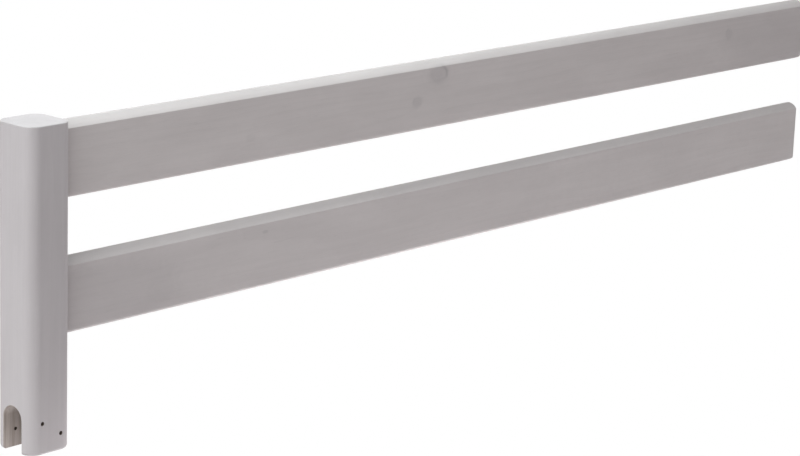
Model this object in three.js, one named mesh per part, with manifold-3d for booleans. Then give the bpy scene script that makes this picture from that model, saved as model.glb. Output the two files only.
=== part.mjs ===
// Bed guard rail: a post with a forked foot, and two rails that run from it to free ends.
// The fork straddles the bed's side board. Bolts through the bed's own post reach the rails'
// far ends from behind. Millimetres, +Z up, +X along the rails, and the front looks to -Y.
// The origin is on the post's axis, level with the foot.

import * as THREE from 'three';
import { mergeVertices } from 'three/addons/utils/BufferGeometryUtils.js';
import Module from 'manifold-3d';

const wasm = await Module();
wasm.setup();

// Post
const postWidth = 60;
const postDepth = 60;
const postHeight = 365;
const postCornerRadius = 15;
const postTopEase = 1.2;
const postFootEase = 4;

// Fork in the post's foot: a slot along X, whose arched top is a half circle of its own width
const slotWidth = 30;
const slotSpringHeight = 38;
const forkHoleDiameter = 4;
const forkHoleSide = 13;
const forkHoleLow = 20;
const forkHoleHigh = 36;

// Rails: the crown is the round top, the shoulder is the crease below it on either face
const railLength = 1417;
const railThickness = 22;
const railHeight = 85.5;
const railGap = 67;
const railTopDrop = 3.5;
const railCrownRadius = 9;
const railShoulderDrop = 8.8;
const railFootRadius = 5;
const railEndTopRadius = 6.5;
const railEndFootRadius = 4.5;

// Dowels, two to a rail, half in the rail and half in the post
const dowelDiameter = 10;
const dowelLength = 60;
const dowelSpacing = 44;
const dowelChamfer = 1.5;
const dowelFluteDepth = 0.4;
const dowelEndRoom = 2;
const dowelFluteCount = 16;

// Threaded insert in the back face of each rail, near its free end
const insertEndDistance = 30;
const insertFlangeDiameter = 14;
const insertFlangeThickness = 1.6;
const insertRidgeDiameter = 11.6;
const insertCoreDiameter = 9.4;
const insertLength = 13;
const insertBoreDiameter = 5.2;
const insertSocketWidth = 6.4;
const insertSocketDepth = 4.5;
const insertEndRoom = 1.5;
const insertRidgeCount = 5;

// Clearances between pieces, and the overrun of every cut
const jointGap = 0.3;
const fitGap = 0.3;
const cutOverrun = 3;

// Steps in a quarter turn of each kind of rounding, and sides of the holes
const cornerSteps = 10;
const easeSteps = 4;
const arcSteps = 10;
const holeSides = 24;
const socketSides = 6;

const quarterTurn = Math.PI / 2;
const railBlock = 2 * railHeight + railGap;
const railBaseHeight = postHeight - railTopDrop - railBlock;
const railStart = postWidth / 2 + jointGap;
const rails = [
  { name: 'upper_rail', foot: railBaseHeight + railHeight + railGap },
  { name: 'lower_rail', foot: railBaseHeight },
];

const greyWash = { color: 0xc6c2c2, roughness: 0.62, metalness: 0 };
const bareBeech = { color: 0xcaa77c, roughness: 0.75, metalness: 0 };
const zincPlate = { color: 0xb9bcc0, roughness: 0.35, metalness: 1 };

// A closed mesh as a solid that can be cut
function solidOf(geometry) {
  geometry.deleteAttribute('normal');
  geometry.deleteAttribute('uv');
  const merged = mergeVertices(geometry);
  return new wasm.Manifold(new wasm.Mesh({
    numProp: 3,
    vertProperties: Float32Array.from(merged.getAttribute('position').array),
    triVerts: Uint32Array.from(merged.index.array),
  }));
}

function geometryOf(solid) {
  const { vertProperties, triVerts } = solid.getMesh();
  const geometry = new THREE.BufferGeometry();
  geometry.setAttribute('position', new THREE.BufferAttribute(vertProperties, 3));
  geometry.setIndex(new THREE.BufferAttribute(triVerts, 1));
  return geometry;
}

function cutAway(geometry, cutters) {
  const whole = cutters.reduce((body, cutter) => body.subtract(solidOf(cutter)), solidOf(geometry));
  return geometryOf(whole);
}

function meshOf(name, geometry, finish) {
  const mesh = new THREE.Mesh(geometry, new THREE.MeshStandardMaterial({ ...finish, flatShading: true }));
  mesh.name = name;
  return mesh;
}

// A closed skin through rings of equal length that climb along +Z, each counter-clockwise
function loft(rings) {
  const count = rings[0].length;
  const ends = [rings[0], rings.at(-1)].map((ring) => new THREE.Vector3(0, 0, ring[0].z));
  const points = [...rings.flat(), ...ends];
  const bottomCentre = rings.length * count;
  const topCentre = bottomCentre + 1;
  const topRing = bottomCentre - count;
  const index = [];
  for (let i = 0; i < count; i += 1) {
    const next = (i + 1) % count;
    index.push(bottomCentre, next, i);
    index.push(topCentre, topRing + i, topRing + next);
    for (let low = 0; low < topRing; low += count) {
      const high = low + count;
      index.push(low + i, low + next, high + next);
      index.push(low + i, high + next, high + i);
    }
  }
  const geometry = new THREE.BufferGeometry().setFromPoints(points);
  geometry.setIndex(index);
  return geometry;
}

// An outline drawn in Y and Z, extruded along +X
function extrudeAlongX(shape, length) {
  const geometry = new THREE.ExtrudeGeometry(shape, {
    depth: length,
    bevelEnabled: false,
    curveSegments: arcSteps,
  });
  const drawn = new THREE.Matrix4().makeBasis(
    new THREE.Vector3(0, 1, 0),
    new THREE.Vector3(0, 0, 1),
    new THREE.Vector3(1, 0, 0),
  );
  return geometry.applyMatrix4(drawn);
}

// An outline drawn in X and Z, extruded along Y, and centred there
function extrudeAcrossY(shape, width) {
  const geometry = new THREE.ExtrudeGeometry(shape, {
    depth: width,
    bevelEnabled: false,
    curveSegments: arcSteps,
  });
  return geometry.rotateX(quarterTurn).translate(0, width / 2, 0);
}

function boreAlongX(diameter, start, end, z) {
  const bore = new THREE.CylinderGeometry(diameter / 2, diameter / 2, end - start, holeSides);
  return bore.rotateZ(quarterTurn).translate((start + end) / 2, 0, z);
}

function boreAlongY(diameter, start, end, x, z) {
  const bore = new THREE.CylinderGeometry(diameter / 2, diameter / 2, end - start, holeSides);
  return bore.translate(x, (start + end) / 2, z);
}

// The post's plan outline, drawn in from the full size by an inset
function postRing(inset, z) {
  const reachX = postWidth / 2 - postCornerRadius;
  const reachY = postDepth / 2 - postCornerRadius;
  const radius = postCornerRadius - inset;
  const ring = [];
  for (let corner = 0; corner < 4; corner += 1) {
    const start = corner * quarterTurn;
    const sideX = Math.sign(Math.cos(start + quarterTurn / 2));
    const sideY = Math.sign(Math.sin(start + quarterTurn / 2));
    for (let step = 0; step <= cornerSteps; step += 1) {
      const angle = start + (step / cornerSteps) * quarterTurn;
      const x = sideX * reachX + radius * Math.cos(angle);
      const y = sideY * reachY + radius * Math.sin(angle);
      ring.push(new THREE.Vector3(x, y, z));
    }
  }
  return ring;
}

// Rings of a quarter-round edge: they start at the end face and open to the full outline
function easedRings(ease, endHeight, inward) {
  return Array.from({ length: easeSteps + 1 }, (_, step) => {
    const angle = (step / easeSteps) * quarterTurn;
    const inset = ease * (1 - Math.sin(angle));
    const depth = ease * (1 - Math.cos(angle));
    return postRing(inset, endHeight + inward * depth);
  });
}

function slotCutter() {
  const shape = new THREE.Shape();
  shape.moveTo(-slotWidth / 2, -cutOverrun);
  shape.lineTo(slotWidth / 2, -cutOverrun);
  shape.lineTo(slotWidth / 2, slotSpringHeight);
  shape.absarc(0, slotSpringHeight, slotWidth / 2, 0, Math.PI, false);
  shape.closePath();
  const length = postWidth + 2 * cutOverrun;
  return extrudeAlongX(shape, length).translate(-length / 2, 0, 0);
}

// Two screw holes on a diagonal in each cheek. The back pair is the front pair turned half round Z.
function forkHoleCutters() {
  const outside = postDepth / 2 + cutOverrun;
  return [
    boreAlongY(forkHoleDiameter, -outside, 0, -forkHoleSide, forkHoleHigh),
    boreAlongY(forkHoleDiameter, -outside, 0, forkHoleSide, forkHoleLow),
    boreAlongY(forkHoleDiameter, 0, outside, forkHoleSide, forkHoleHigh),
    boreAlongY(forkHoleDiameter, 0, outside, -forkHoleSide, forkHoleLow),
  ];
}

function dowelHeights(rail) {
  const middle = rail.foot + railHeight / 2;
  return [middle + dowelSpacing / 2, middle - dowelSpacing / 2];
}

const dowelBoreDiameter = dowelDiameter + 2 * fitGap;
const dowelBoreDepth = (dowelLength - jointGap) / 2 + dowelEndRoom;

function makePost() {
  const rings = [
    ...easedRings(postFootEase, 0, 1),
    ...easedRings(postTopEase, postHeight, -1).reverse(),
  ];
  const face = postWidth / 2;
  const dowelCutters = rails.flatMap(dowelHeights).map((z) => (
    boreAlongX(dowelBoreDiameter, face - dowelBoreDepth, face + cutOverrun, z)
  ));
  const cutters = [slotCutter(), ...forkHoleCutters(), ...dowelCutters];
  return meshOf('post', cutAway(loft(rings), cutters), greyWash);
}

// The rail's section, with Z measured from its foot. The flat between crown and shoulder is
// the tangent from the shoulder to the crown's circle.
function railSection() {
  const half = railThickness / 2;
  const crownCentre = railHeight - railCrownRadius;
  const shoulder = railHeight - railShoulderDrop;
  const rise = shoulder - crownCentre;
  const reach = Math.hypot(half, rise);
  const tangent = Math.atan2(rise, half) + Math.acos(railCrownRadius / reach);
  const footCentre = half - railFootRadius;
  const shape = new THREE.Shape();
  shape.moveTo(-footCentre, 0);
  shape.lineTo(footCentre, 0);
  shape.absarc(footCentre, railFootRadius, railFootRadius, -quarterTurn, 0, false);
  shape.lineTo(half, shoulder);
  shape.absarc(0, crownCentre, railCrownRadius, tangent, Math.PI - tangent, false);
  shape.lineTo(-half, shoulder);
  shape.absarc(-footCentre, railFootRadius, railFootRadius, Math.PI, Math.PI + quarterTurn, false);
  return shape;
}

// What rounds a free corner of the rail in elevation: the space outside a quarter circle
function endCornerCutter(radius, edgeHeight, side) {
  const shape = new THREE.Shape();
  const outerX = railLength + cutOverrun;
  const outerZ = edgeHeight + side * cutOverrun;
  const centreX = railLength - radius;
  const centreZ = edgeHeight - side * radius;
  shape.moveTo(outerX, centreZ);
  shape.lineTo(railLength, centreZ);
  shape.absarc(centreX, centreZ, radius, 0, side * quarterTurn, side < 0);
  shape.lineTo(centreX, outerZ);
  shape.lineTo(outerX, outerZ);
  shape.closePath();
  return extrudeAcrossY(shape, railThickness + 2 * cutOverrun);
}

const insertX = railLength - insertEndDistance;
const insertZ = railHeight / 2;

function insertPocketCutters() {
  const back = railThickness / 2;
  const shank = insertRidgeDiameter + 2 * fitGap;
  const flange = insertFlangeDiameter + 2 * fitGap;
  const shankFloor = back - insertLength - insertEndRoom;
  const flangeFloor = back - insertFlangeThickness - fitGap;
  return [
    boreAlongY(shank, shankFloor, back + cutOverrun, insertX, insertZ),
    boreAlongY(flange, flangeFloor, back + cutOverrun, insertX, insertZ),
  ];
}

// A rail lies along +X from its joint, with its foot at its own Z 0
function makeRail(rail) {
  const dowelCutters = dowelHeights(rail).map((z) => (
    boreAlongX(dowelBoreDiameter, -cutOverrun, dowelBoreDepth, z - rail.foot)
  ));
  const cutters = [
    endCornerCutter(railEndTopRadius, railHeight, 1),
    endCornerCutter(railEndFootRadius, 0, -1),
    ...dowelCutters,
    ...insertPocketCutters(),
  ];
  const plank = extrudeAlongX(railSection(), railLength);
  const mesh = meshOf(rail.name, cutAway(plank, cutters), greyWash);
  mesh.position.set(railStart, 0, rail.foot);
  return mesh;
}

// The dowel's outline: each glue flute is a shallow notch between two points on the round
function dowelRing(radius, z) {
  const ring = [];
  const pitch = (4 * quarterTurn) / dowelFluteCount;
  const fluteRadius = radius - dowelFluteDepth;
  for (let flute = 0; flute < dowelFluteCount; flute += 1) {
    for (const [share, r] of [[0, radius], [0.5, radius], [0.75, fluteRadius]]) {
      const angle = (flute + share) * pitch;
      ring.push(new THREE.Vector3(r * Math.cos(angle), r * Math.sin(angle), z));
    }
  }
  return ring;
}

function makeDowel(name, z) {
  const radius = dowelDiameter / 2;
  const half = dowelLength / 2;
  const rings = [
    dowelRing(radius - dowelChamfer, -half),
    dowelRing(radius, -half + dowelChamfer),
    dowelRing(radius, half - dowelChamfer),
    dowelRing(radius - dowelChamfer, half),
  ];
  const mesh = meshOf(name, loft(rings), bareBeech);
  mesh.rotation.y = quarterTurn;
  mesh.position.set(postWidth / 2 + jointGap / 2, 0, z);
  return mesh;
}

// The insert's half section, with its axis along Y, its flange's face at Y 0 and its end below
function insertProfile() {
  const bore = insertBoreDiameter / 2;
  const flange = insertFlangeDiameter / 2;
  const core = insertCoreDiameter / 2;
  const ridge = insertRidgeDiameter / 2;
  const pitch = (insertLength - insertFlangeThickness) / insertRidgeCount;
  const profile = [new THREE.Vector2(bore, -insertLength)];
  for (let turn = 0; turn < insertRidgeCount; turn += 1) {
    const low = -insertLength + turn * pitch;
    profile.push(new THREE.Vector2(core, low));
    profile.push(new THREE.Vector2(ridge, low + pitch / 2));
  }
  profile.push(new THREE.Vector2(core, -insertFlangeThickness));
  profile.push(new THREE.Vector2(flange, -insertFlangeThickness));
  profile.push(new THREE.Vector2(flange, 0));
  profile.push(new THREE.Vector2(bore, 0));
  profile.push(profile[0].clone());
  return profile;
}

function makeInsert(name, rail) {
  const body = new THREE.LatheGeometry(insertProfile(), holeSides);
  const socketRadius = insertSocketWidth / 2 / Math.cos(Math.PI / socketSides);
  const socketHeight = insertSocketDepth + cutOverrun;
  const socket = new THREE.CylinderGeometry(socketRadius, socketRadius, socketHeight, socketSides);
  socket.translate(0, socketHeight / 2 - insertSocketDepth, 0);
  const mesh = meshOf(name, cutAway(body, [socket]), zincPlate);
  mesh.position.set(railStart + insertX, railThickness / 2, rail.foot + insertZ);
  return mesh;
}

const guardRail = new THREE.Group();
guardRail.add(makePost());
for (const rail of rails) {
  guardRail.add(makeRail(rail));
  dowelHeights(rail).forEach((z, place) => {
    guardRail.add(makeDowel(`${rail.name}_dowel_${['top', 'bottom'][place]}`, z));
  });
  guardRail.add(makeInsert(`${rail.name}_insert`, rail));
}

export default guardRail;
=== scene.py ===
import math
import bmesh
import bpy
import numpy as np
from mathutils import Matrix, Vector


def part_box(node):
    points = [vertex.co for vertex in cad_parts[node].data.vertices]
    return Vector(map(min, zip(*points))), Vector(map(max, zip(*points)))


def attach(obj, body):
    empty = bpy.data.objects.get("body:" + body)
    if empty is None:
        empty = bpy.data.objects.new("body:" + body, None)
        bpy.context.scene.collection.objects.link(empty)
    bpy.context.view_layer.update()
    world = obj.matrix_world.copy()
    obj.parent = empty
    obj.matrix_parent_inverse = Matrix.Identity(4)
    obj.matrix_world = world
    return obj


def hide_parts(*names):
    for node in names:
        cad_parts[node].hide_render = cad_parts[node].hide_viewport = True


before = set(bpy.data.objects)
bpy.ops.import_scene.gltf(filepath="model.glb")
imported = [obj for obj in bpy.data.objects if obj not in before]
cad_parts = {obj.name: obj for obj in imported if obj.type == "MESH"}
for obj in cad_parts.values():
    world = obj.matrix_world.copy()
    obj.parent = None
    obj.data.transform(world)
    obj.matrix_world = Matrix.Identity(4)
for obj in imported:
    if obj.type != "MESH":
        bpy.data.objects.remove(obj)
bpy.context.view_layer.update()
millimetre = 0.001
fullTurn = 2 * np.pi
quarterTurn = np.pi / 2
print("frame loaded:", len(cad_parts), "nodes")


# Places in the frame, in millimetres

# The decimal digits of a millimetre that are kept, down to a micrometre.
keptDigits = 3


# A node's lowest and highest corners.
def nodeBox(node):
    return [[round(value / millimetre, keptDigits) for value in corner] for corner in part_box(node)]


def nodeMiddle(node):
    low, high = nodeBox(node)
    return [round((least + most) / 2, keptDigits) for least, most in zip(low, high)]


railNodes = ("upper_rail", "lower_rail")
dowelNodes = tuple(node + "_dowel_" + end for node in railNodes for end in ("top", "bottom"))
# The rails are alike, and so are the dowels and the inserts, so one of each gives the sizes.
postHigh = nodeBox("post")[1]
railLow, railHigh = nodeBox("upper_rail")
dowelLow, dowelHigh = nodeBox("upper_rail_dowel_top")
insertLow, insertHigh = nodeBox("upper_rail_insert")

# The gap round what is fitted into the wood, the room past a dowel's end, and how far a cut runs past
# an outer face.
fitGap = 0.3
dowelRoom = 2.0
overrun = 3.0
boreRadius = (dowelHigh[2] - dowelLow[2]) / 2 + fitGap


# Mesh work

# Quads between neighbouring points of a grid, taken row by row.
# A closed direction joins its last line of points to its first.
def gridQuads(rowCount, columnCount, closeRows):
    rows = np.arange(rowCount if closeRows else rowCount - 1)[:, None]
    columns = np.arange(columnCount)[None, :]
    nextRows = (rows + 1) % rowCount
    nextColumns = (columns + 1) % columnCount
    corners = [
        rows * columnCount + columns,
        rows * columnCount + nextColumns,
        nextRows * columnCount + nextColumns,
        nextRows * columnCount + columns,
    ]
    return np.stack(corners, axis=-1).reshape(-1, 4)


# Turns a grid of points in millimetres, shaped rows x columns x 3, into a closed shell.
# Each row is a closed ring; the first and last ring are capped, or joined when closeRows is true.
def shellFromGrid(name, grid, closeRows=False):
    rowCount, columnCount = grid.shape[:2]
    faces = gridQuads(rowCount, columnCount, closeRows).tolist()
    if not closeRows:
        last = (rowCount - 1) * columnCount
        faces.append(list(range(columnCount)))
        faces.append(list(range(last, last + columnCount)))
    mesh = bpy.data.meshes.new(name)
    mesh.from_pydata((grid.reshape(-1, 3) * millimetre).tolist(), [], faces)
    work = bmesh.new()
    work.from_mesh(mesh)
    bmesh.ops.recalc_face_normals(work, faces=work.faces)
    work.to_mesh(mesh)
    work.free()
    piece = bpy.data.objects.new(name, mesh)
    bpy.context.scene.collection.objects.link(piece)
    return piece


# Takes the cutters out of a piece. Each is paired with the material of the faces that it leaves behind.
def cutOut(piece, finish, cutters):
    materials = [finish]
    for inside in cutters.values():
        if inside not in materials:
            materials.append(inside)
    for material in materials:
        piece.data.materials.append(material)
    for cutter, inside in cutters.items():
        for material in materials:
            cutter.data.materials.append(material)
        places = np.full(len(cutter.data.polygons), materials.index(inside), dtype=np.int32)
        cutter.data.polygons.foreach_set("material_index", places)
        cut = piece.modifiers.new("cut", "BOOLEAN")
        cut.operation = "DIFFERENCE"
        cut.solver = "EXACT"
        cut.object = cutter
    evaluated = piece.evaluated_get(bpy.context.evaluated_depsgraph_get())
    whole = piece.data
    piece.data = bpy.data.meshes.new_from_object(evaluated)
    piece.data.name = piece.name
    piece.modifiers.clear()
    bpy.data.meshes.remove(whole)
    for cutter in cutters:
        mesh = cutter.data
        bpy.data.objects.remove(cutter)
        bpy.data.meshes.remove(mesh)


# Rounds the shading over curved parts and keeps flats flat and edges sharper than the angle sharp.
def smoothPiece(piece, sharpAngle, flatWeight=100):
    piece.data.shade_smooth()
    piece.data.set_sharp_from_angle(angle=math.radians(sharpAngle))
    weighted = piece.modifiers.new("flat faces", "WEIGHTED_NORMAL")
    weighted.keep_sharp = True
    weighted.weight = flatWeight


# Rings of a round tool: at each place along the axis a circle of that radius.
def roundTool(name, along, radii, centre, axis, sides=48):
    turn = np.linspace(0, fullTurn, sides, endpoint=False)
    along = np.asarray(along, float)[:, None] + 0 * turn
    radii = np.asarray(radii, float)[:, None]
    across = radii * np.cos(turn)
    upward = radii * np.sin(turn)
    if axis == "X":
        grid = np.stack([along, across + centre[1], upward + centre[2]], axis=-1)
    else:
        grid = np.stack([across + centre[0], along, upward + centre[2]], axis=-1)
    return shellFromGrid(name, grid)


# A dowel's bore between two places along X.
def dowelTool(node, ends):
    return roundTool("boreTool", ends, (boreRadius, boreRadius), nodeMiddle(node), "X")


# Node work

# Adds a node; an input given as another node's socket is linked, and any other value is set.
def addNode(tree, kind, inputs=None, **settings):
    node = tree.nodes.new(kind)
    for label, value in settings.items():
        setattr(node, label, value)
    for label, value in (inputs or {}).items():
        if isinstance(value, bpy.types.NodeSocket):
            tree.links.new(value, node.inputs[label])
        else:
            node.inputs[label].default_value = value
    return node


def addMath(tree, operation, first, second=None, third=None, clamp=False):
    inputs = {0: first}
    if second is not None:
        inputs[1] = second
    if third is not None:
        inputs[2] = third
    return addNode(tree, "ShaderNodeMath", inputs, operation=operation, use_clamp=clamp).outputs[0]


# A base plus each named value times its weight; clamp holds every sum between 0 and 1.
def addWeighted(tree, base, values, weights, clamp=False):
    for label, weight in weights.items():
        base = addMath(tree, "MULTIPLY_ADD", values[label], weight, base, clamp)
    return base


def addVectorMath(tree, operation, first, second=None):
    inputs = {0: first} if second is None else {0: first, 1: second}
    node = addNode(tree, "ShaderNodeVectorMath", inputs, operation=operation)
    return node.outputs["Value" if operation in ("LENGTH", "DOT_PRODUCT") else "Vector"]


def addRange(tree, value, fromMin, fromMax, toMin=0.0, toMax=1.0, kind="SMOOTHSTEP"):
    inputs = {"Value": value, "From Min": fromMin, "From Max": fromMax, "To Min": toMin, "To Max": toMax}
    return addNode(tree, "ShaderNodeMapRange", inputs, interpolation_type=kind).outputs["Result"]


# The mix node has a set of sockets for each type of data; these are the places of the colour ones.
mixSockets = {"factor": 0, "first": 6, "second": 7, "result": 2}


def addMix(tree, factor, first, second, blend="MIX"):
    inputs = {mixSockets["factor"]: factor, mixSockets["first"]: first, mixSockets["second"]: second}
    node = addNode(tree, "ShaderNodeMix", inputs, data_type="RGBA", blend_type=blend)
    return node.outputs[mixSockets["result"]]


# Noise on coordinates stretched by different amounts along and across the grain.
def addGrainNoise(tree, vector, along, across, detail=2.0, rough=0.5):
    stretched = addVectorMath(tree, "MULTIPLY", vector, (along, across, across))
    inputs = {"Vector": stretched, "Scale": 1.0, "Detail": detail, "Roughness": rough}
    return addNode(tree, "ShaderNodeTexNoise", inputs).outputs[0]


def newGroup(name, inputs, outputs):
    group = bpy.data.node_groups.new(name, "ShaderNodeTree")
    for label, kind in inputs.items():
        group.interface.new_socket(label, in_out="INPUT", socket_type="NodeSocket" + kind)
    for label, kind in outputs.items():
        group.interface.new_socket(label, in_out="OUTPUT", socket_type="NodeSocket" + kind)
    return group, group.nodes.new("NodeGroupInput").outputs, group.nodes.new("NodeGroupOutput").inputs


def placeGroup(tree, group, inputs):
    return addNode(tree, "ShaderNodeGroup", inputs, node_tree=group).outputs


# The standard curve from a screen's levels to light: straight up to its knee, and a power above it.
screenCurve = {"top": 255, "knee": 0.04045, "slope": 12.92, "offset": 0.055, "power": 2.4}


def paint(red, green, blue):
    levels = np.array([red, green, blue]) / screenCurve["top"]
    offset = screenCurve["offset"]
    curved = ((levels + offset) / (1 + offset)) ** screenCurve["power"]
    light = np.where(levels <= screenCurve["knee"], levels / screenCurve["slope"], curved)
    return (*light.tolist(), 1.0)


# Shared effects

# A noise has its counts in a metre along and across the grain. A span is the stretch of a value that is
# spread from 0 to 1, and lengths are in metres.
figure = {
    "wander": {"along": 2.2, "across": 16.0, "detail": 2.0}, "wanderWidth": 0.022, "ringPower": 2.5,
    "coarse": {"along": 5.0, "across": 150.0, "detail": 3.0, "rough": 0.55},
    "fine": {"along": 22.0, "across": 800.0, "detail": 2.0, "rough": 0.6},
    "streakShares": {"coarse": 0.6, "fine": 0.4}, "streakSpan": (0.34, 0.66),
    "pores": {"along": 90.0, "across": 2600.0, "detail": 1.0}, "poreSpan": (0.62, 0.74),
    "dashes": {"along": 26.0, "across": 420.0, "detail": 1.0}, "dashSpan": (0.70, 0.80), "dashShare": 0.8,
    "blotches": {"along": 9.0, "across": 24.0, "detail": 3.0, "rough": 0.55}, "blotchSpan": (0.3, 0.7),
}


# The wood's own figure, with the grain along the first coordinate: growth rings round a pith,
# long streaks, fine open pores and broad blotches, each from 0 to 1.
def makeWoodFigure(look):
    inputs = {"Vector": "Vector", "Pith": "Vector", "Ring Gap": "Float"}
    outputs = {"Rings": "Float", "Streaks": "Float", "Pores": "Float", "Blotches": "Float"}
    group, given, made = newGroup("woodFigure", inputs, outputs)
    noises = {name: addGrainNoise(group, given["Vector"], **look[name])
              for name in ("wander", "coarse", "fine", "pores", "dashes", "blotches")}
    wave = addMath(group, "MULTIPLY_ADD", noises["wander"], look["wanderWidth"], -look["wanderWidth"] / 2)
    fromPith = addVectorMath(group, "SUBTRACT", given["Vector"], given["Pith"])
    radius = addVectorMath(group, "LENGTH", addVectorMath(group, "MULTIPLY", fromPith, (0, 1, 1)))
    turns = addMath(group, "DIVIDE", addMath(group, "ADD", radius, wave), given["Ring Gap"])
    rings = addMath(group, "POWER", addMath(group, "FRACT", turns), look["ringPower"])
    streaks = addWeighted(group, 0.0, noises, look["streakShares"])
    pores = addRange(group, noises["pores"], *look["poreSpan"])
    dashes = addRange(group, noises["dashes"], *look["dashSpan"])
    pores = addMath(group, "MULTIPLY_ADD", dashes, look["dashShare"], pores, clamp=True)
    group.links.new(rings, made["Rings"])
    group.links.new(addRange(group, streaks, *look["streakSpan"], kind="LINEAR"), made["Streaks"])
    group.links.new(pores, made["Pores"])
    group.links.new(addRange(group, noises["blotches"], *look["blotchSpan"]), made["Blotches"])
    return group


# Reaches are in half sizes of the mark.
knotAndShadeLook = {
    "outline": {"along": 110.0, "across": 110.0, "detail": 2.0}, "outlineWander": 0.4,
    "coreSpan": (1.40, 0.60), "rimReach": 0.86, "rimSpan": (0.28, 0.02), "sideSpan": (0.4, 0.85),
    "ringsPerReach": 4.0, "ringSpan": (2.4, 1.0), "ringShare": 0.06,
    "shares": {"crescent": 0.5, "core": 0.40},
}


# One knot: a soft dark disc whose outline wanders, darkest in a crescent on its dark side, with the
# grain pushed aside round it in faint rings. The dark side's length says how strong the crescent is. Wide and
# with no dark side, the same disc is a patch of painted shade.
def makeKnotAndShadeMark(look):
    inputs = {"Vector": "Vector", "Centre": "Vector", "Size": "Vector", "Dark Side": "Vector"}
    group, given, made = newGroup("knotAndShadeMark", inputs, {"Mark": "Float"})
    away = addVectorMath(group, "SUBTRACT", given["Vector"], given["Centre"])
    scaled = addVectorMath(group, "DIVIDE", away, given["Size"])
    rough = addGrainNoise(group, given["Vector"], **look["outline"])
    wander = addMath(group, "MULTIPLY_ADD", rough, look["outlineWander"], -look["outlineWander"] / 2)
    reach = addMath(group, "ADD", addVectorMath(group, "LENGTH", scaled), wander)
    fromRim = addMath(group, "ABSOLUTE", addMath(group, "SUBTRACT", reach, look["rimReach"]))
    side = addVectorMath(group, "DOT_PRODUCT", scaled, given["Dark Side"])
    onSide = addRange(group, side, *look["sideSpan"])
    rings = addMath(group, "PINGPONG", addMath(group, "MULTIPLY", reach, look["ringsPerReach"]), 1.0)
    ringShare = addMath(group, "MULTIPLY", rings, look["ringShare"])
    faint = addMath(group, "MULTIPLY", addRange(group, reach, *look["ringSpan"]), ringShare)
    parts = {
        "core": addRange(group, reach, *look["coreSpan"]),
        "crescent": addMath(group, "MULTIPLY", addRange(group, fromRim, *look["rimSpan"]), onSide),
    }
    group.links.new(addWeighted(group, faint, parts, look["shares"], clamp=True), made["Mark"])
    return group


wearLook = {
    "samples": 6, "turnSpan": (0.998, 0.9),
    "patches": {"along": 60.0, "across": 90.0, "detail": 3.0}, "patchSpan": (0.35, 0.6),
    "patchLevels": (0.35, 1.0),
}


# Marks the corners and edges of a piece, broken up so that wear isn't an even line.
def makeEdgeWear(look):
    group, given, made = newGroup("edgeWear", {"Vector": "Vector", "Reach": "Float"}, {"Edge": "Float"})
    bevel = addNode(group, "ShaderNodeBevel", {"Radius": given["Reach"]}, samples=look["samples"])
    facing = addNode(group, "ShaderNodeNewGeometry").outputs["Normal"]
    match = addVectorMath(group, "DOT_PRODUCT", bevel.outputs["Normal"], facing)
    turned = addRange(group, match, *look["turnSpan"])
    noise = addGrainNoise(group, given["Vector"], **look["patches"])
    patchy = addRange(group, noise, *look["patchSpan"], *look["patchLevels"])
    group.links.new(addMath(group, "MULTIPLY", turned, patchy), made["Edge"])
    return group


washLook = {
    "toneOf": {"Rings": 0.20, "Streaks": 0.34, "Blotches": 0.46}, "poreShare": 0.16, "rubShare": 0.25,
    "roughness": 0.58, "roughnessOf": {"Streaks": 0.10, "Pores": 0.12, "Edge": -0.06},
    "heightOf": {"Streaks": -0.5, "Pores": -0.5, "Rings": 0.35, "Knots And Painted Shade": 0.6},
}


# The grey wash over that figure: thin where the wood is hard, settled in pores and round knots, darker
# under the painted shade that comes in with the knots, and rubbed a little lighter along edges.
def makeGreyWash(look):
    levels = ("Rings", "Streaks", "Pores", "Blotches", "Knots And Painted Shade", "Edge")
    colours = ("Pale", "Deep", "Knot And Shade Colour", "Rubbed")
    inputs = {**dict.fromkeys(levels, "Float"), **dict.fromkeys(colours, "Color")}
    outputs = {"Color": "Color", "Roughness": "Float", "Height": "Float"}
    group, given, made = newGroup("greyWash", inputs, outputs)
    color = addMix(group, addWeighted(group, 0.0, given, look["toneOf"]), given["Pale"], given["Deep"])
    inPores = addMath(group, "MULTIPLY", given["Pores"], look["poreShare"])
    color = addMix(group, inPores, color, given["Knot And Shade Colour"])
    color = addMix(group, given["Knots And Painted Shade"], color, given["Knot And Shade Colour"])
    onEdges = addMath(group, "MULTIPLY", given["Edge"], look["rubShare"])
    color = addMix(group, onEdges, color, given["Rubbed"])
    group.links.new(color, made["Color"])
    roughness = addWeighted(group, look["roughness"], given, look["roughnessOf"])
    group.links.new(roughness, made["Roughness"])
    group.links.new(addWeighted(group, 0.0, given, look["heightOf"]), made["Height"])
    return group


woodFigure = makeWoodFigure(figure)
knotAndShadeMark = makeKnotAndShadeMark(knotAndShadeLook)
edgeWear = makeEdgeWear(wearLook)
greyWash = makeGreyWash(washLook)
print("shared effects built")


# Materials

def newMaterial(name):
    material = bpy.data.materials.new(name)
    material.use_nodes = True
    tree = material.node_tree
    place = addNode(tree, "ShaderNodeTexCoord").outputs["Object"]
    return material, tree, tree.nodes["Principled BSDF"], place


def addBump(tree, shader, height, look):
    inputs = {"Height": height, "Strength": look["bumpStrength"], "Distance": look["bumpDistance"]}
    tree.links.new(addNode(tree, "ShaderNodeBump", inputs).outputs[0], shader.inputs["Normal"])


# Lays the figure along a member. turn brings the member's length onto the figure's first axis, and
# shift picks which part of the trunk the member was sawn from.
def placeFigure(tree, place, look):
    inputs = {"Vector": place, "Location": look["shift"], "Rotation": look["turn"]}
    mapped = addNode(tree, "ShaderNodeMapping", inputs).outputs[0]
    return placeGroup(tree, woodFigure, {"Vector": mapped, "Pith": look["pith"], "Ring Gap": look["ringGap"]})


washed = {
    "knotAndShadeColour": paint(168, 161, 163), "rubbed": paint(214, 211, 209), "wearReach": 0.0022,
    "specular": 0.05, "bumpStrength": 0.35, "bumpDistance": 0.0002, "noDarkSide": (0.0, 0.0, 0.0),
}
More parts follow.
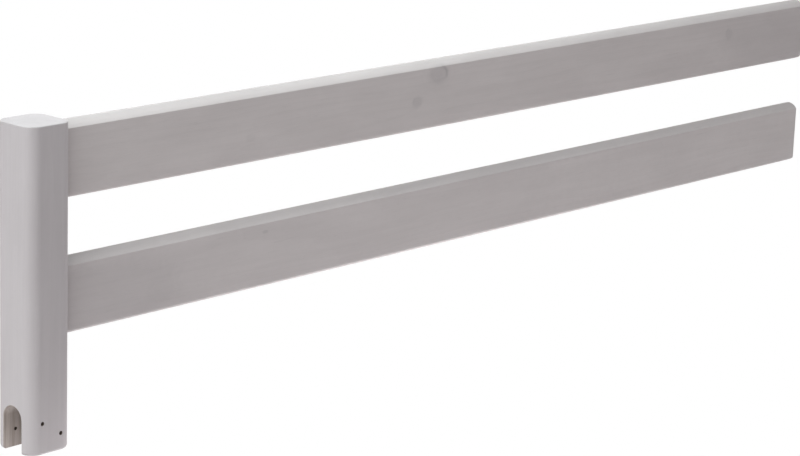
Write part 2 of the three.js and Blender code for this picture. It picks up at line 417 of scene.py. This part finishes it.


# Washed wood. Each knot is a centre and a half size in millimetres, the way its dark side faces, and its
# strength. A painted shade is the same mark, wide and soft, with no dark side, darkening the wood where
# light falls less.
def makeWashedWood(name, look):
    material, tree, shader, place = newMaterial(name)
    paintedShades = [(centre, size, washed["noDarkSide"], strength) for centre, size, strength in look["paintedShades"]]
    knotsAndPaintedShade = 0.0
    for centre, size, darkSide, strength in look["knots"] + paintedShades:
        inputs = {
            "Vector": place,
            "Centre": [value * millimetre for value in centre],
            "Size": [value * millimetre for value in size],
            "Dark Side": darkSide,
        }
        # Knots and painted shade are summed here alike.
        mark = placeGroup(tree, knotAndShadeMark, inputs)["Mark"]
        knotsAndPaintedShade = addMath(tree, "MULTIPLY_ADD", mark, strength, knotsAndPaintedShade)
    edge = placeGroup(tree, edgeWear, {"Vector": place, "Reach": washed["wearReach"]})["Edge"]
    inputs = {"Knots And Painted Shade": knotsAndPaintedShade, "Edge": edge, "Pale": look["pale"], "Deep": look["deep"],
              "Knot And Shade Colour": washed["knotAndShadeColour"], "Rubbed": washed["rubbed"]}
    figured = placeFigure(tree, place, look)
    for label in ("Rings", "Streaks", "Pores", "Blotches"):
        inputs[label] = figured[label]
    wash = placeGroup(tree, greyWash, inputs)
    tree.links.new(wash["Color"], shader.inputs["Base Color"])
    tree.links.new(wash["Roughness"], shader.inputs["Roughness"])
    addBump(tree, shader, wash["Height"], washed)
    shader.inputs["Specular IOR Level"].default_value = washed["specular"]
    return material


bare = {
    "pith": (0.0, 0.05, 0.03), "ringGap": 0.003, "toneOf": {"Rings": 0.3, "Pores": 0.3},
    "roughnessOf": {"Streaks": 0.12}, "heightOf": {"Streaks": 1.0, "Pores": -0.6},
    "specular": 0.3, "bumpStrength": 0.5, "bumpDistance": 0.0002,
    # The painted shade deep in the slot: its colour, and how far from the post's middle it starts, in metres.
    "innerColour": paint(96, 88, 86), "innerFrom": 0.032,
}


# Unfinished wood of cut faces and dowels: two tones along the figure, rougher and porous. Where inner is
# given, painted shade darkens the wood towards the post's middle, by that share of the shade colour.
def makeBareWood(name, look):
    material, tree, shader, place = newMaterial(name)
    figured = placeFigure(tree, place, {**look, **bare})
    tones = {"Streaks": look["contrast"], **bare["toneOf"]}
    amount = addWeighted(tree, 0.0, figured, tones, clamp=True)
    color = addMix(tree, amount, look["pale"], look["deep"])
    # Painted shade: darker towards the post's middle, deep inside the slot.
    if "inner" in look:
        across = addNode(tree, "ShaderNodeSeparateXYZ", {0: place}).outputs["X"]
        aside = addMath(tree, "ABSOLUTE", across)
        depth = addRange(tree, aside, bare["innerFrom"], 0.0, 0.0, look["inner"], "LINEAR")
        color = addMix(tree, depth, color, bare["innerColour"], "MULTIPLY")
    tree.links.new(color, shader.inputs["Base Color"])
    roughness = addWeighted(tree, look["roughness"], figured, bare["roughnessOf"])
    tree.links.new(roughness, shader.inputs["Roughness"])
    addBump(tree, shader, addWeighted(tree, 0.0, figured, bare["heightOf"]), bare)
    shader.inputs["Specular IOR Level"].default_value = bare["specular"]
    return material


zincLook = {
    "cloud": {"along": 260.0, "across": 260.0, "detail": 4.0, "rough": 0.6}, "cloudSpan": (0.35, 0.65),
    "speck": {"along": 2200.0, "across": 2200.0, "detail": 2.0},
    "bright": paint(206, 208, 210), "dull": paint(176, 179, 184), "roughness": 0.2, "cloudRoughness": 0.25,
    "bumpStrength": 0.25, "bumpDistance": 0.00008,
}


# Bright zinc plate with faint clouds of a duller tone and a fine speckle.
def makeZinc(name, look):
    material, tree, shader, place = newMaterial(name)
    cloud = addGrainNoise(tree, place, **look["cloud"])
    tone = addMix(tree, addRange(tree, cloud, *look["cloudSpan"]), look["bright"], look["dull"])
    tree.links.new(tone, shader.inputs["Base Color"])
    roughness = addMath(tree, "MULTIPLY_ADD", cloud, look["cloudRoughness"], look["roughness"])
    tree.links.new(roughness, shader.inputs["Roughness"])
    addBump(tree, shader, addGrainNoise(tree, place, **look["speck"]), look)
    shader.inputs["Metallic"].default_value = 1.0
    return material


upright = (0.0, quarterTurn, 0.0)
lengthwise = (0.0, 0.0, 0.0)
washes = {
    "postWash": {
        "turn": upright, "shift": (0.11, 0.02, 0.05), "pith": (0.0, 0.052, 0.047), "ringGap": 0.0042,
        "pale": paint(191, 184, 186), "deep": paint(183, 176, 178), "knots": [], "paintedShades": [],
    },
    "upperRailWash": {
        "turn": lengthwise, "shift": (0.37, 0.0, 0.0), "pith": (0.0, 0.048, 0.300), "ringGap": 0.0042,
        "pale": paint(203, 195, 195), "deep": paint(192.5, 184.5, 184.5),
        "knots": [
            ((641.0, -11.0, 343.5), (17.5, 9.0, 11.5), (0.95, 0.0, 0.35), 0.95),
            ((603.0, -11.0, 312.5), (8.5, 7.0, 6.8), (-0.6, 0.0, 0.3), 0.85),
            ((1262.0, -11.0, 330.0), (8.0, 6.0, 7.5), (-0.5, 0.0, 0.5), 0.60),
            ((315.0, -11.0, 306.0), (8.0, 6.0, 4.5), (0.3, 0.0, 0.0), 0.35),
        ],
        "paintedShades": [
            # Painted shade on the front near the free end.
            ((1395.0, -11.0, 312.0), (120.0, 30.0, 40.0), 0.42),
            # Painted shade on the crest near the post, darkening the light on its rim.
            ((150.0, 3.0, 361.5), (450.0, 9.0, 5.0), 0.50),
        ],
    },
    "lowerRailWash": {
        "turn": lengthwise, "shift": (1.93, 0.0, 0.0), "pith": (0.0, 0.055, 0.185), "ringGap": 0.0042,
        # The lower rail is painted paler than the upper, and its broad painted shade darkens it towards the
        # post: painted light that grows towards the free end.
        "pale": paint(211, 203, 203), "deep": paint(200.5, 192.5, 192.5),
        "knots": [
            ((342.0, -11.0, 190.0), (4.5, 5.0, 2.0), (0.6, 0.0, 0.3), 0.75),
            ((930.0, 11.0, 150.0), (11.0, 9.0, 8.0), (0.9, 0.0, 0.2), 0.80),
        ],
        "paintedShades": [
            # Painted shade on the front next to the post, where the post shades the rail.
            ((80.0, -11.0, 155.0), (135.0, 30.0, 44.0), 0.62),
            # Broad painted shade, darkest towards the post end.
            ((150.0, -11.0, 165.0), (900.0, 90.0, 200.0), 0.38),
            # Painted shade along the top band, which lies under the upper rail.
            ((900.0, -11.0, 204.5), (500.0, 30.0, 6.0), 0.42),
        ],
    },
}
bareWoods = {
    # The slot wood's inner is its share of painted shade towards the post's middle.
    "slotWood": {"turn": upright, "shift": (0.4, 0.1, 0.2), "pale": paint(203, 192, 186),
                 "deep": paint(158, 146, 140), "contrast": 0.9, "roughness": 0.66, "inner": 0.52},
    # The hole wood is bare wood painted dark for the shade inside the narrow screw holes.
    "holeShadeWood": {"turn": lengthwise, "shift": (0.6, 0.3, 0.2), "pale": paint(96, 84, 74),
                 "deep": paint(62, 53, 46), "contrast": 0.6, "roughness": 0.7},
    "boreWood": {"turn": lengthwise, "shift": (0.9, 0.1, 0.2), "pale": paint(196, 172, 138),
                 "deep": paint(160, 132, 98), "contrast": 0.6, "roughness": 0.65},
    "beech": {"turn": lengthwise, "shift": (0.2, 0.3, 0.1), "pale": paint(209, 174, 132),
              "deep": paint(178, 140, 99), "contrast": 0.5, "roughness": 0.6},
}
finishes = {name: makeWashedWood(name, look) for name, look in washes.items()}
finishes.update({name: makeBareWood(name, look) for name, look in bareWoods.items()})
finishes["zinc"] = makeZinc("zinc", zincLook)
print("materials built")


# Post

post = {
    "half": postHigh[0], "height": postHigh[2], "corner": 15.0, "cornerSteps": 14,
    "footEase": 4.0, "topEase": 1.2, "easeSteps": 7, "sharpAngle": 38,
    "slotHalf": 15.0, "slotSpring": 38.0, "archSteps": 40, "lip": 0.5, "lipSteps": 6,
    "holeRadius": 2.0, "holeLip": 0.4, "holeBendShare": 0.3, "holeOverrun": 2.0,
    "holeSide": 13.0, "holeLow": 20.0, "holeHigh": 36.0,
}


# A square with round corners, drawn inwards by an inset: each corner is a quarter circle about
# its own centre, and the straight sides lie between one quarter's end and the next one's start.
def roundedSquare(half, corner, insets, steps):
    start = np.arange(4)[:, None] * quarterTurn
    turn = np.linspace(0, quarterTurn, steps + 1)[None, :] + start
    middle = start + quarterTurn / 2
    centreX = (half - corner) * np.sign(np.cos(middle)) + 0 * turn
    centreY = (half - corner) * np.sign(np.sin(middle)) + 0 * turn
    radius = corner - np.asarray(insets)[:, None]
    return np.stack([centreX.ravel() + radius * np.cos(turn).ravel(),
                     centreY.ravel() + radius * np.sin(turn).ravel()], axis=-1)


# The post is that square carried upwards. Near the foot and the top it draws in along a quarter circle.
# At the foot the inset is the ease times one less the sine, and the height is the ease times one less the
# cosine. At the top the inset takes the cosine, and the way down from the top takes the sine.
def postGrid(size):
    arc = np.linspace(0, quarterTurn, size["easeSteps"] + 1)
    footInset = size["footEase"] * (1 - np.sin(arc))
    footHeight = size["footEase"] * (1 - np.cos(arc))
    topInset = size["topEase"] * (1 - np.cos(arc))
    topHeight = size["height"] - size["topEase"] * (1 - np.sin(arc))
    insets = np.concatenate([footInset, topInset])
    heights = np.concatenate([footHeight, topHeight])
    outline = roundedSquare(size["half"], size["corner"], insets, size["cornerSteps"])
    upward = np.broadcast_to(heights[:, None, None], (*outline.shape[:2], 1))
    return np.concatenate([outline, upward], axis=-1)


# The fork's opening, carried along X: straight walls up to the spring, and over them a half circle, across
# by its radius times the cosine and up by its radius times the sine. Near both ends it is drawn wider
# along a quarter circle, by the lip times one less the cosine, where the way in from the face is the lip
# times one less the sine. The walls part in the same way at the foot, so all lips are round.
def slotTool(size):
    lip, half, outer = size["lip"], size["slotHalf"], size["half"]
    arc = np.linspace(0, quarterTurn, size["lipSteps"] + 1)
    inward = lip * (1 - np.sin(arc))
    spread = lip * (1 - np.cos(arc))
    near = outer - inward
    along = np.concatenate([[-outer - overrun], -near[::-1], near, [outer + overrun]])
    offset = np.concatenate([[lip], spread[::-1], spread, [lip]])
    wallHeight = np.concatenate([[-overrun], inward[::-1], [size["slotSpring"]]])
    wallOut = np.concatenate([[lip], spread[::-1], [0.0]])
    turn = np.linspace(np.pi, 0, size["archSteps"] + 1)[1:-1]
    leftY = -(half + offset[:, None] + wallOut[None, :])
    archY = (half + offset[:, None]) * np.cos(turn)
    archZ = size["slotSpring"] + (half + offset[:, None]) * np.sin(turn)
    wallZ = np.broadcast_to(wallHeight, leftY.shape)
    acrossY = np.concatenate([leftY, archY, -leftY[:, ::-1]], axis=1)
    upZ = np.concatenate([wallZ, archZ, wallZ[:, ::-1]], axis=1)
    return shellFromGrid("slotTool", np.stack([along[:, None] + 0 * acrossY, acrossY, upZ], axis=-1))


# A screw hole through one cheek, from outside the post to inside the slot. Towards the face its radius
# widens in two straight steps, first by a share of the lip at that share of it below the face, and then
# by the whole lip at the face.
def holeTool(size, side, x, z):
    lip, outer = size["holeLip"], size["half"]
    bend = lip * size["holeBendShare"]
    inner = size["slotHalf"] - size["holeOverrun"]
    along = np.array([outer + overrun, outer, outer - bend, outer - lip, inner]) * side
    radii = np.array([lip, lip, bend, 0.0, 0.0]) + size["holeRadius"]
    return roundTool("holeTool", along, radii, (x, 0, z), "Y")


def makePost(size):
    piece = shellFromGrid("postShell", postGrid(size))
    tools = {slotTool(size): finishes["slotWood"]}
    for side, x, z in (
        (-1, -size["holeSide"], size["holeHigh"]),
        (-1, size["holeSide"], size["holeLow"]),
        (1, size["holeSide"], size["holeHigh"]),
        (1, -size["holeSide"], size["holeLow"]),
    ):
        tools[holeTool(size, side, x, z)] = finishes["holeShadeWood"]
    ends = (dowelLow[0] - dowelRoom, size["half"] + overrun)
    for node in dowelNodes:
        tools[dowelTool(node, ends)] = finishes["boreWood"]
    cutOut(piece, finishes["postWash"], tools)
    smoothPiece(piece, size["sharpAngle"])
    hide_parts("post")
    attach(piece, "root")
    return piece


postPiece = makePost(post)
print("post made:", len(postPiece.data.polygons), "faces")


# Rails, and the threaded inserts in their free ends

insert = {
    "mouth": insertHigh[1], "length": insertHigh[1] - insertLow[1], "endRoom": 1.5, "sides": 96,
    "flangeRadius": (insertHigh[0] - insertLow[0]) / 2, "flangeThickness": 1.6,
    "flangeEase": 0.35, "flangeSteps": 4,
    "ridgeRadius": 5.8, "coreRadius": 4.7, "ridgePitch": 2.28, "ridgeRows": 72,
    "ridgeSlope": 1.6, "ridgeRoot": 0.5, "ridgeFade": 0.9, "noseEase": 0.5, "noseMouth": 0.8,
    "boreRadius": 2.6, "boreThreadDepth": 0.42, "borePitch": 1.0, "boreRows": 64,
    "boreStart": 0.6, "boreStop": 0.3,
    "socketSides": 6, "socketHalf": 3.2, "socketDepth": 4.5, "socketEase": 0.35,
    "socketFloorShare": 0.96, "socketFloorEase": 0.15, "socketBendShare": 0.4, "sharpAngle": 40,
}


# A wall's distance from the axis, as one closed loop of rows swept round it: face, flange, screw
# thread, nose, bore thread, hexagon socket. A thread is a wave in depth that moves by one pitch in
# one turn. The socket's distance is its half width over the cosine of the angle from the nearest flat.
def insertGrid(size, centre):
    turn = np.linspace(0, fullTurn, size["sides"], endpoint=False)
    around = np.ones_like(turn)
    share = turn / fullTurn
    arc = np.linspace(0, quarterTurn, size["flangeSteps"] + 1)
    ease, rim, core = size["flangeEase"], size["flangeRadius"], size["coreRadius"]
    length, floor, lip = size["length"], size["socketDepth"], size["socketEase"]
    seat, nose = size["flangeThickness"], length - size["noseEase"]
    flangeRadii = rim - ease + ease * np.concatenate([np.sin(arc), np.cos(arc)])
    flangeDepths = np.concatenate([ease * (1 - np.cos(arc)), seat - ease * (1 - np.sin(arc))])
    screwDepths = np.linspace(seat, nose, size["ridgeRows"])
    wave = np.abs(((screwDepths[:, None] / size["ridgePitch"] + share[None, :]) % 1) * 2 - 1)
    fade = np.clip(np.minimum(screwDepths - seat, nose - screwDepths) / size["ridgeFade"], 0, 1)[:, None]
    ridge = np.clip(size["ridgeSlope"] * wave - size["ridgeRoot"], 0, 1)
    screwRadii = core + (size["ridgeRadius"] - core) * fade * ridge
    noseRadii = np.array([core - size["noseEase"], size["boreRadius"] + size["noseMouth"]])
    noseDepths = np.array([length, length])
    boreDepths = np.linspace(length - size["boreStart"], floor + size["boreStop"], size["boreRows"])
    boreWave = np.abs(((boreDepths[:, None] / size["borePitch"] + share[None, :]) % 1) * 2 - 1)
    boreRadii = size["boreRadius"] + size["boreThreadDepth"] * boreWave
    sector = fullTurn / size["socketSides"]
    fromFlat = (turn + sector / 2) % sector - sector / 2
    hexagon = size["socketHalf"] / np.cos(fromFlat)
    bend = lip * size["socketBendShare"]
    socketRadii = [hexagon * size["socketFloorShare"], hexagon, hexagon, hexagon + bend, hexagon + lip]
    socketDepths = np.array([floor, floor - size["socketFloorEase"], lip, bend, 0.0])
    radius = np.concatenate([flangeRadii[:, None] * around, screwRadii, noseRadii[:, None] * around,
                             boreRadii, np.stack(socketRadii)])
    depth = np.concatenate([flangeDepths, screwDepths, noseDepths, boreDepths, socketDepths])[:, None]
    x = centre[0] + radius * np.cos(turn)
    z = centre[2] + radius * np.sin(turn)
    return np.stack([x, size["mouth"] - depth + 0 * x, z], axis=-1)


rail = {
    "start": railLow[0], "end": railHigh[0], "half": railHigh[1], "height": railHigh[2] - railLow[2],
    "roofRadius": 30.0, "ridgeRadius": 4.5, "shoulder": 76.7, "shoulderEase": 1.1, "footRadius": 5.0,
    "endTopRadius": 6.5, "endFootRadius": 4.5, "endEase": 1.0, "jointEase": 0.35, "sharpAngle": 38,
    "footSteps": 10, "shoulderSteps": 6, "roofSteps": 12, "ridgeSteps": 9, "sideSteps": 7, "easeSteps": 5,
    "straightFrom": 4.0, "straightTo": 12.0, "straightRows": 60,
    "cornerFrom": 9.0, "cornerTo": 0.4, "cornerRows": 22,
    "heldWithin": 13.0, "heldOver": 4.0, "heldRoom": 0.25, "heldBlend": 1.0,
    "pocketLip": 0.3, "pocketSides": 64,
}


# The plank's section, from the middle of the foot round the back, over the ridge and down the front.
# The roof is a wide arc from the shoulder to the ridge's small circle, which touches it from inside. So its
# centre lies one roof radius from the shoulder, and the difference of both radii from the ridge's centre.
# The shoulder itself is a short arc that touches both the side and the roof.
def railSection(size):
    half, foot, roof, ridge = size["half"], size["footRadius"], size["roofRadius"], size["ridgeRadius"]
    ridgeZ = size["height"] - ridge
    fall = ridgeZ - size["shoulder"]
    span = math.hypot(half, fall)
    between = roof - ridge
    bend = math.acos((span ** 2 + between ** 2 - roof ** 2) / (2 * span * between))
    touch = math.pi - math.atan2(fall, half) - bend
    roofY = -between * math.cos(touch)
    roofZ = ridgeZ - between * math.sin(touch)
    ease = size["shoulderEase"]
    easeY = half - ease
    easeZ = roofZ + math.sqrt((roof - ease) ** 2 - (easeY - roofY) ** 2)
    footTurn = np.linspace(-quarterTurn, 0, size["footSteps"] + 1)
    easeTurn = np.linspace(0, math.atan2(easeZ - roofZ, easeY - roofY), size["shoulderSteps"] + 1)
    roofTurn = np.linspace(easeTurn[-1], touch, size["roofSteps"] + 1)[1:-1]
    ridgeTurn = np.linspace(touch, quarterTurn, size["ridgeSteps"] + 1)
    side = np.linspace(foot, easeZ, size["sideSteps"] + 1)[1:-1]
    backY = np.concatenate([
        [0.0], half - foot + foot * np.cos(footTurn), half + 0 * side,
        easeY + ease * np.cos(easeTurn), roofY + roof * np.cos(roofTurn), ridge * np.cos(ridgeTurn)])
    backZ = np.concatenate([
        [0.0], foot + foot * np.sin(footTurn), side,
        easeZ + ease * np.sin(easeTurn), roofZ + roof * np.sin(roofTurn), ridgeZ + ridge * np.sin(ridgeTurn)])
    y = np.concatenate([backY, -backY[1:-1][::-1]])
    z = np.concatenate([backZ, backZ[1:-1][::-1]])
    return np.stack([y, z], axis=-1)


# How far a round corner has dropped at a distance from the end: its radius, less the root of the squared
# radius less the square of the way from there to the corner's start.
def cornerDrop(radius, distance):
    inside = np.clip(radius - distance, 0, radius)
    return radius - np.sqrt(radius ** 2 - inside ** 2)


# The lesser of two values, blended where they are close: half their sum, less half the root of their
# squared difference plus the squared width.
def softLess(first, second, width):
    return 0.5 * (first + second - np.sqrt((first - second) ** 2 + width ** 2))


# The section carried along X. Each ring is drawn in along its own normals by the ease of the end it
# is near, and its heights are held under the round top corner and over the round foot corner.
def railGrid(size, foot):
    section = railSection(size)
    ahead = np.roll(section, -1, axis=0) - np.roll(section, 1, axis=0)
    normal = np.stack([ahead[:, 1], -ahead[:, 0]], axis=-1)
    normal /= np.linalg.norm(normal, axis=1, keepdims=True)
    start, end, ease = size["start"], size["end"], size["endEase"]
    arc = np.linspace(0, quarterTurn, size["easeSteps"] + 1)
    jointIn = size["jointEase"] * (1 - np.sin(arc))
    jointX = start + size["jointEase"] * (1 - np.cos(arc))
    straight = np.linspace(start + size["straightFrom"], end - size["straightTo"], size["straightRows"])
    corner = np.linspace(end - size["cornerFrom"], end - ease - size["cornerTo"], size["cornerRows"])
    endX = end - ease * (1 - np.sin(arc))
    endIn = ease * (1 - np.cos(arc))
    stations = np.concatenate([jointX, straight, corner, endX])
    insets = np.concatenate([jointIn, 0 * straight, 0 * corner, endIn])
    distance = end - stations
    y = section[None, :, 0] - insets[:, None] * normal[None, :, 0]
    z = section[None, :, 1] - insets[:, None] * normal[None, :, 1]
    topLimit = (size["height"] - insets - cornerDrop(size["endTopRadius"], distance))[:, None]
    footLimit = (insets + cornerDrop(size["endFootRadius"], distance))[:, None]
    nearEnd = np.clip((size["heldWithin"] - distance) / size["heldOver"], 0, 1)[:, None]
    held = softLess(z, topLimit + size["heldRoom"], size["heldBlend"])
    held = -softLess(-held, -footLimit + size["heldRoom"], size["heldBlend"])
    held = np.clip(held, footLimit, topLimit)
    z = z + nearEnd * (held - z)
    return np.stack([stations[:, None] + 0 * y, y, z + foot], axis=-1)


# The insert's pocket: a round hole for its ridges and a wider, shallow one for its flange, each wider than
# the insert by the gap, with a small chamfer at the rail's back.
def pocketTool(size, held, centre):
    back, lip = size["half"], size["pocketLip"]
    shank = held["ridgeRadius"] + fitGap
    flange = held["flangeRadius"] + fitGap
    bottom = held["mouth"] - held["length"] - held["endRoom"]
    seat = held["mouth"] - held["flangeThickness"] - fitGap
    along = (bottom, seat, seat, back - lip, back, back + overrun)
    radii = (shank, shank, flange, flange, flange + lip, flange + lip)
    return roundTool("pocketTool", along, radii, centre, "Y", size["pocketSides"])


def makeRail(node, finish):
    piece = shellFromGrid(node + "_plank", railGrid(rail, nodeBox(node)[0][2]))
    ends = (rail["start"] - overrun, dowelHigh[0] + dowelRoom)
    tools = {dowelTool(node + end, ends): finishes["boreWood"] for end in ("_dowel_bottom", "_dowel_top")}
    tools[pocketTool(rail, insert, nodeMiddle(node + "_insert"))] = finishes["boreWood"]
    cutOut(piece, finish, tools)
    smoothPiece(piece, rail["sharpAngle"])
    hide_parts(node)
    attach(piece, "root")
    return piece


upperRail = makeRail("upper_rail", finishes["upperRailWash"])
lowerRail = makeRail("lower_rail", finishes["lowerRailWash"])
print("rails made:", len(upperRail.data.polygons), "and", len(lowerRail.data.polygons), "faces")


def makeInsert(node):
    piece = shellFromGrid(node + "_threaded", insertGrid(insert, nodeMiddle(node)), closeRows=True)
    piece.data.materials.append(finishes["zinc"])
    smoothPiece(piece, insert["sharpAngle"])
    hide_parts(node)
    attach(piece, "root")


makeInsert("upper_rail_insert")
makeInsert("lower_rail_insert")
print("inserts made")


# Dowels: the fluted solids keep their shape and get a beech finish

for node in dowelNodes:
    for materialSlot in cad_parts[node].material_slots:
        materialSlot.material = finishes["beech"]
print("dowels finished")


# Floor, light and camera

studio = {
    "floorHeight": -0.5, "floorHalf": 40.0, "floorColour": paint(242, 234.5, 236), "floorCentre": (0.7, 0.0),
    "whiteFrom": (1.2, 0.75, 1.0), "keepShadow": 0.65, "liftSpan": (0.4, 1.4), "lift": (0.165, 0.32),
    "white": (1.0, 1.0, 1.0, 1.0), "fill": 0.125,
}
overheadTint = (0.93, 1.02, 1.015)
leftTint = (0.97, 1.045, 1.035)
origin = (0.0, 0.0, 0.0)
# Area lamps have a size in metres; far soft ones have an angle of spread in degrees instead.
lamps = {
    "overhead": {"place": (0.15, -0.15, 1.9), "target": (0.15, 0.0, 0.2), "size": (1.8, 0.62), "power": 12.8,
                 "tint": overheadTint},
    "straight": {"place": (0.10, 0.02, 1.9), "target": (0.10, 0.0, 0.2), "size": (1.4, 0.2), "power": 11.4,
                 "tint": overheadTint},
    "ahead": {"place": (0.1, -0.45, 1.7), "target": (0.1, 0.0, 0.2), "size": (0.7, 0.15), "power": 4.8,
              "tint": overheadTint},
    "underside": {"place": (0.62, -0.03, -0.36), "target": (0.62, -0.03, 0.3), "size": (0.65, 0.12),
                  "power": 2.8},
    "bounce": {"place": (0.75, -0.45, -0.46), "target": (0.75, -0.3, 0.3), "size": (2.8, 1.5), "power": 0.83},
    "foot": {"place": (0.06, -0.11, -0.07), "target": (0.0, -0.03, 0.0), "size": (0.1, 0.1), "power": 0.060},
    "left": {"place": (-4.0, 0.0, 1.0), "target": origin, "spread": 90, "power": 2.55, "tint": leftTint},
    "lowLeft": {"place": (-4.0, -1.8, -0.2), "target": origin, "spread": 70, "power": 1.02},
    "backRight": {"place": (4.0, 3.75, 0.3), "target": origin, "spread": 90, "power": 0.9},
}
photoCamera = {
    "place": (-1.79197, -2.12369, 0.93534), "heading": 48.2934, "pitch": 13.7752, "roll": 1.9953,
    "lens": 118.73, "sensor": 36.0, "clipStart": 0.05, "clipEnd": 100.0,
}


def seenDirectly(tree):
    rays = addNode(tree, "ShaderNodeLightPath").outputs
    either = addMath(tree, "MAXIMUM", rays["Is Camera Ray"], rays["Is Glossy Ray"])
    return addMath(tree, "MAXIMUM", either, rays["Is Transmission Ray"])


# White far away; near the object a plain pale surface that keeps the shadow, lifted more where the lamps
# reach it less; nothing from below.
def makeFloor(size):
    material = bpy.data.materials.new("floor")
    material.use_nodes = True
    tree = material.node_tree
    tree.nodes.clear()
    place = addNode(tree, "ShaderNodeNewGeometry").outputs
    centre = (*size["floorCentre"], size["floorHeight"])
    away = addVectorMath(tree, "SUBTRACT", place["Position"], centre)
    reach = addVectorMath(tree, "LENGTH", addVectorMath(tree, "DIVIDE", away, size["whiteFrom"]))
    far = addRange(tree, reach, size["keepShadow"], 1.0)
    seen = seenDirectly(tree)
    white = addMath(tree, "MULTIPLY", far, seen)
    across = addNode(tree, "ShaderNodeSeparateXYZ", {0: place["Position"]}).outputs["X"]
    level = addRange(tree, across, *size["liftSpan"], *size["lift"], "LINEAR")
    lifted = addMath(tree, "MULTIPLY", seen, level)
    matt = addNode(tree, "ShaderNodeBsdfDiffuse", {"Color": size["floorColour"]}).outputs[0]
    lift = addNode(tree, "ShaderNodeEmission", {"Strength": lifted}).outputs[0]
    plain = addNode(tree, "ShaderNodeAddShader", {0: matt, 1: lift}).outputs[0]
    bright = addNode(tree, "ShaderNodeEmission", {"Color": size["white"], "Strength": 1.0}).outputs[0]
    clear = addNode(tree, "ShaderNodeBsdfTransparent").outputs[0]
    above = addNode(tree, "ShaderNodeMixShader", {0: white, 1: plain, 2: bright}).outputs[0]
    sided = addNode(tree, "ShaderNodeMixShader", {0: place["Backfacing"], 1: above, 2: clear}).outputs[0]
    addNode(tree, "ShaderNodeOutputMaterial", {"Surface": sided})
    half, height = size["floorHalf"], size["floorHeight"]
    corners = [(-half, -half, height), (half, -half, height), (half, half, height), (-half, half, height)]
    mesh = bpy.data.meshes.new("floor")
    mesh.from_pydata(corners, [], [(0, 1, 2, 3)])
    floor = bpy.data.objects.new("floor", mesh)
    bpy.context.scene.collection.objects.link(floor)
    mesh.materials.append(material)


# White where it is seen directly, and otherwise a weak light from all round.
def makeWorld(size):
    world = bpy.data.worlds.new("studio")
    world.use_nodes = True
    tree = world.node_tree
    tree.nodes.clear()
    white = addNode(tree, "ShaderNodeBackground", {"Color": size["white"], "Strength": 1.0}).outputs[0]
    weak = {"Color": size["white"], "Strength": size["fill"]}
    fill = addNode(tree, "ShaderNodeBackground", weak).outputs[0]
    mixed = addNode(tree, "ShaderNodeMixShader", {0: seenDirectly(tree), 1: fill, 2: white}).outputs[0]
    addNode(tree, "ShaderNodeOutputWorld", {"Surface": mixed})
    bpy.context.scene.world = world


def makeLamp(name, size):
    light = bpy.data.lights.new(name, "SUN" if "spread" in size else "AREA")
    if "spread" in size:
        light.angle = math.radians(size["spread"])
    else:
        light.shape = "RECTANGLE"
        light.size, light.size_y = size["size"]
    light.energy = size["power"]
    light.color = size.get("tint", (1.0, 1.0, 1.0))
    lamp = bpy.data.objects.new(name, light)
    bpy.context.scene.collection.objects.link(lamp)
    lamp.location = size["place"]
    aim = np.array(size["target"]) - np.array(size["place"])
    lamp.rotation_euler = Vector(aim.tolist()).to_track_quat("-Z", "Y").to_euler()
    lamp.visible_camera = False


# The camera looks along its heading and down by its pitch, and is then rolled about that line.
def makeCamera(size):
    heading, pitch, roll = (math.radians(size[key]) for key in ("heading", "pitch", "roll"))
    level = np.array([math.cos(heading), -math.sin(heading), 0.0])
    outward = np.array([math.sin(heading), math.cos(heading), 0.0])
    upward = np.array([0.0, 0.0, 1.0])
    ahead = math.cos(pitch) * outward - math.sin(pitch) * upward
    above = math.sin(pitch) * outward + math.cos(pitch) * upward
    right = math.cos(roll) * level + math.sin(roll) * above
    top = -math.sin(roll) * level + math.cos(roll) * above
    axes = np.stack([right, top, -ahead], axis=1)
    turned = Matrix(axes.tolist()).to_4x4()
    turned.translation = size["place"]
    lensData = bpy.data.cameras.new("photoCamera")
    lensData.sensor_width = size["sensor"]
    lensData.lens = size["lens"]
    lensData.clip_start, lensData.clip_end = size["clipStart"], size["clipEnd"]
    camera = bpy.data.objects.new("photoCamera", lensData)
    bpy.context.scene.collection.objects.link(camera)
    camera.matrix_world = turned
    bpy.context.scene.camera = camera


makeFloor(studio)
makeWorld(studio)
for lampName, lampSize in lamps.items():
    makeLamp(lampName, lampSize)
makeCamera(photoCamera)
bpy.context.scene.view_settings.view_transform = "Standard"
print("studio set")
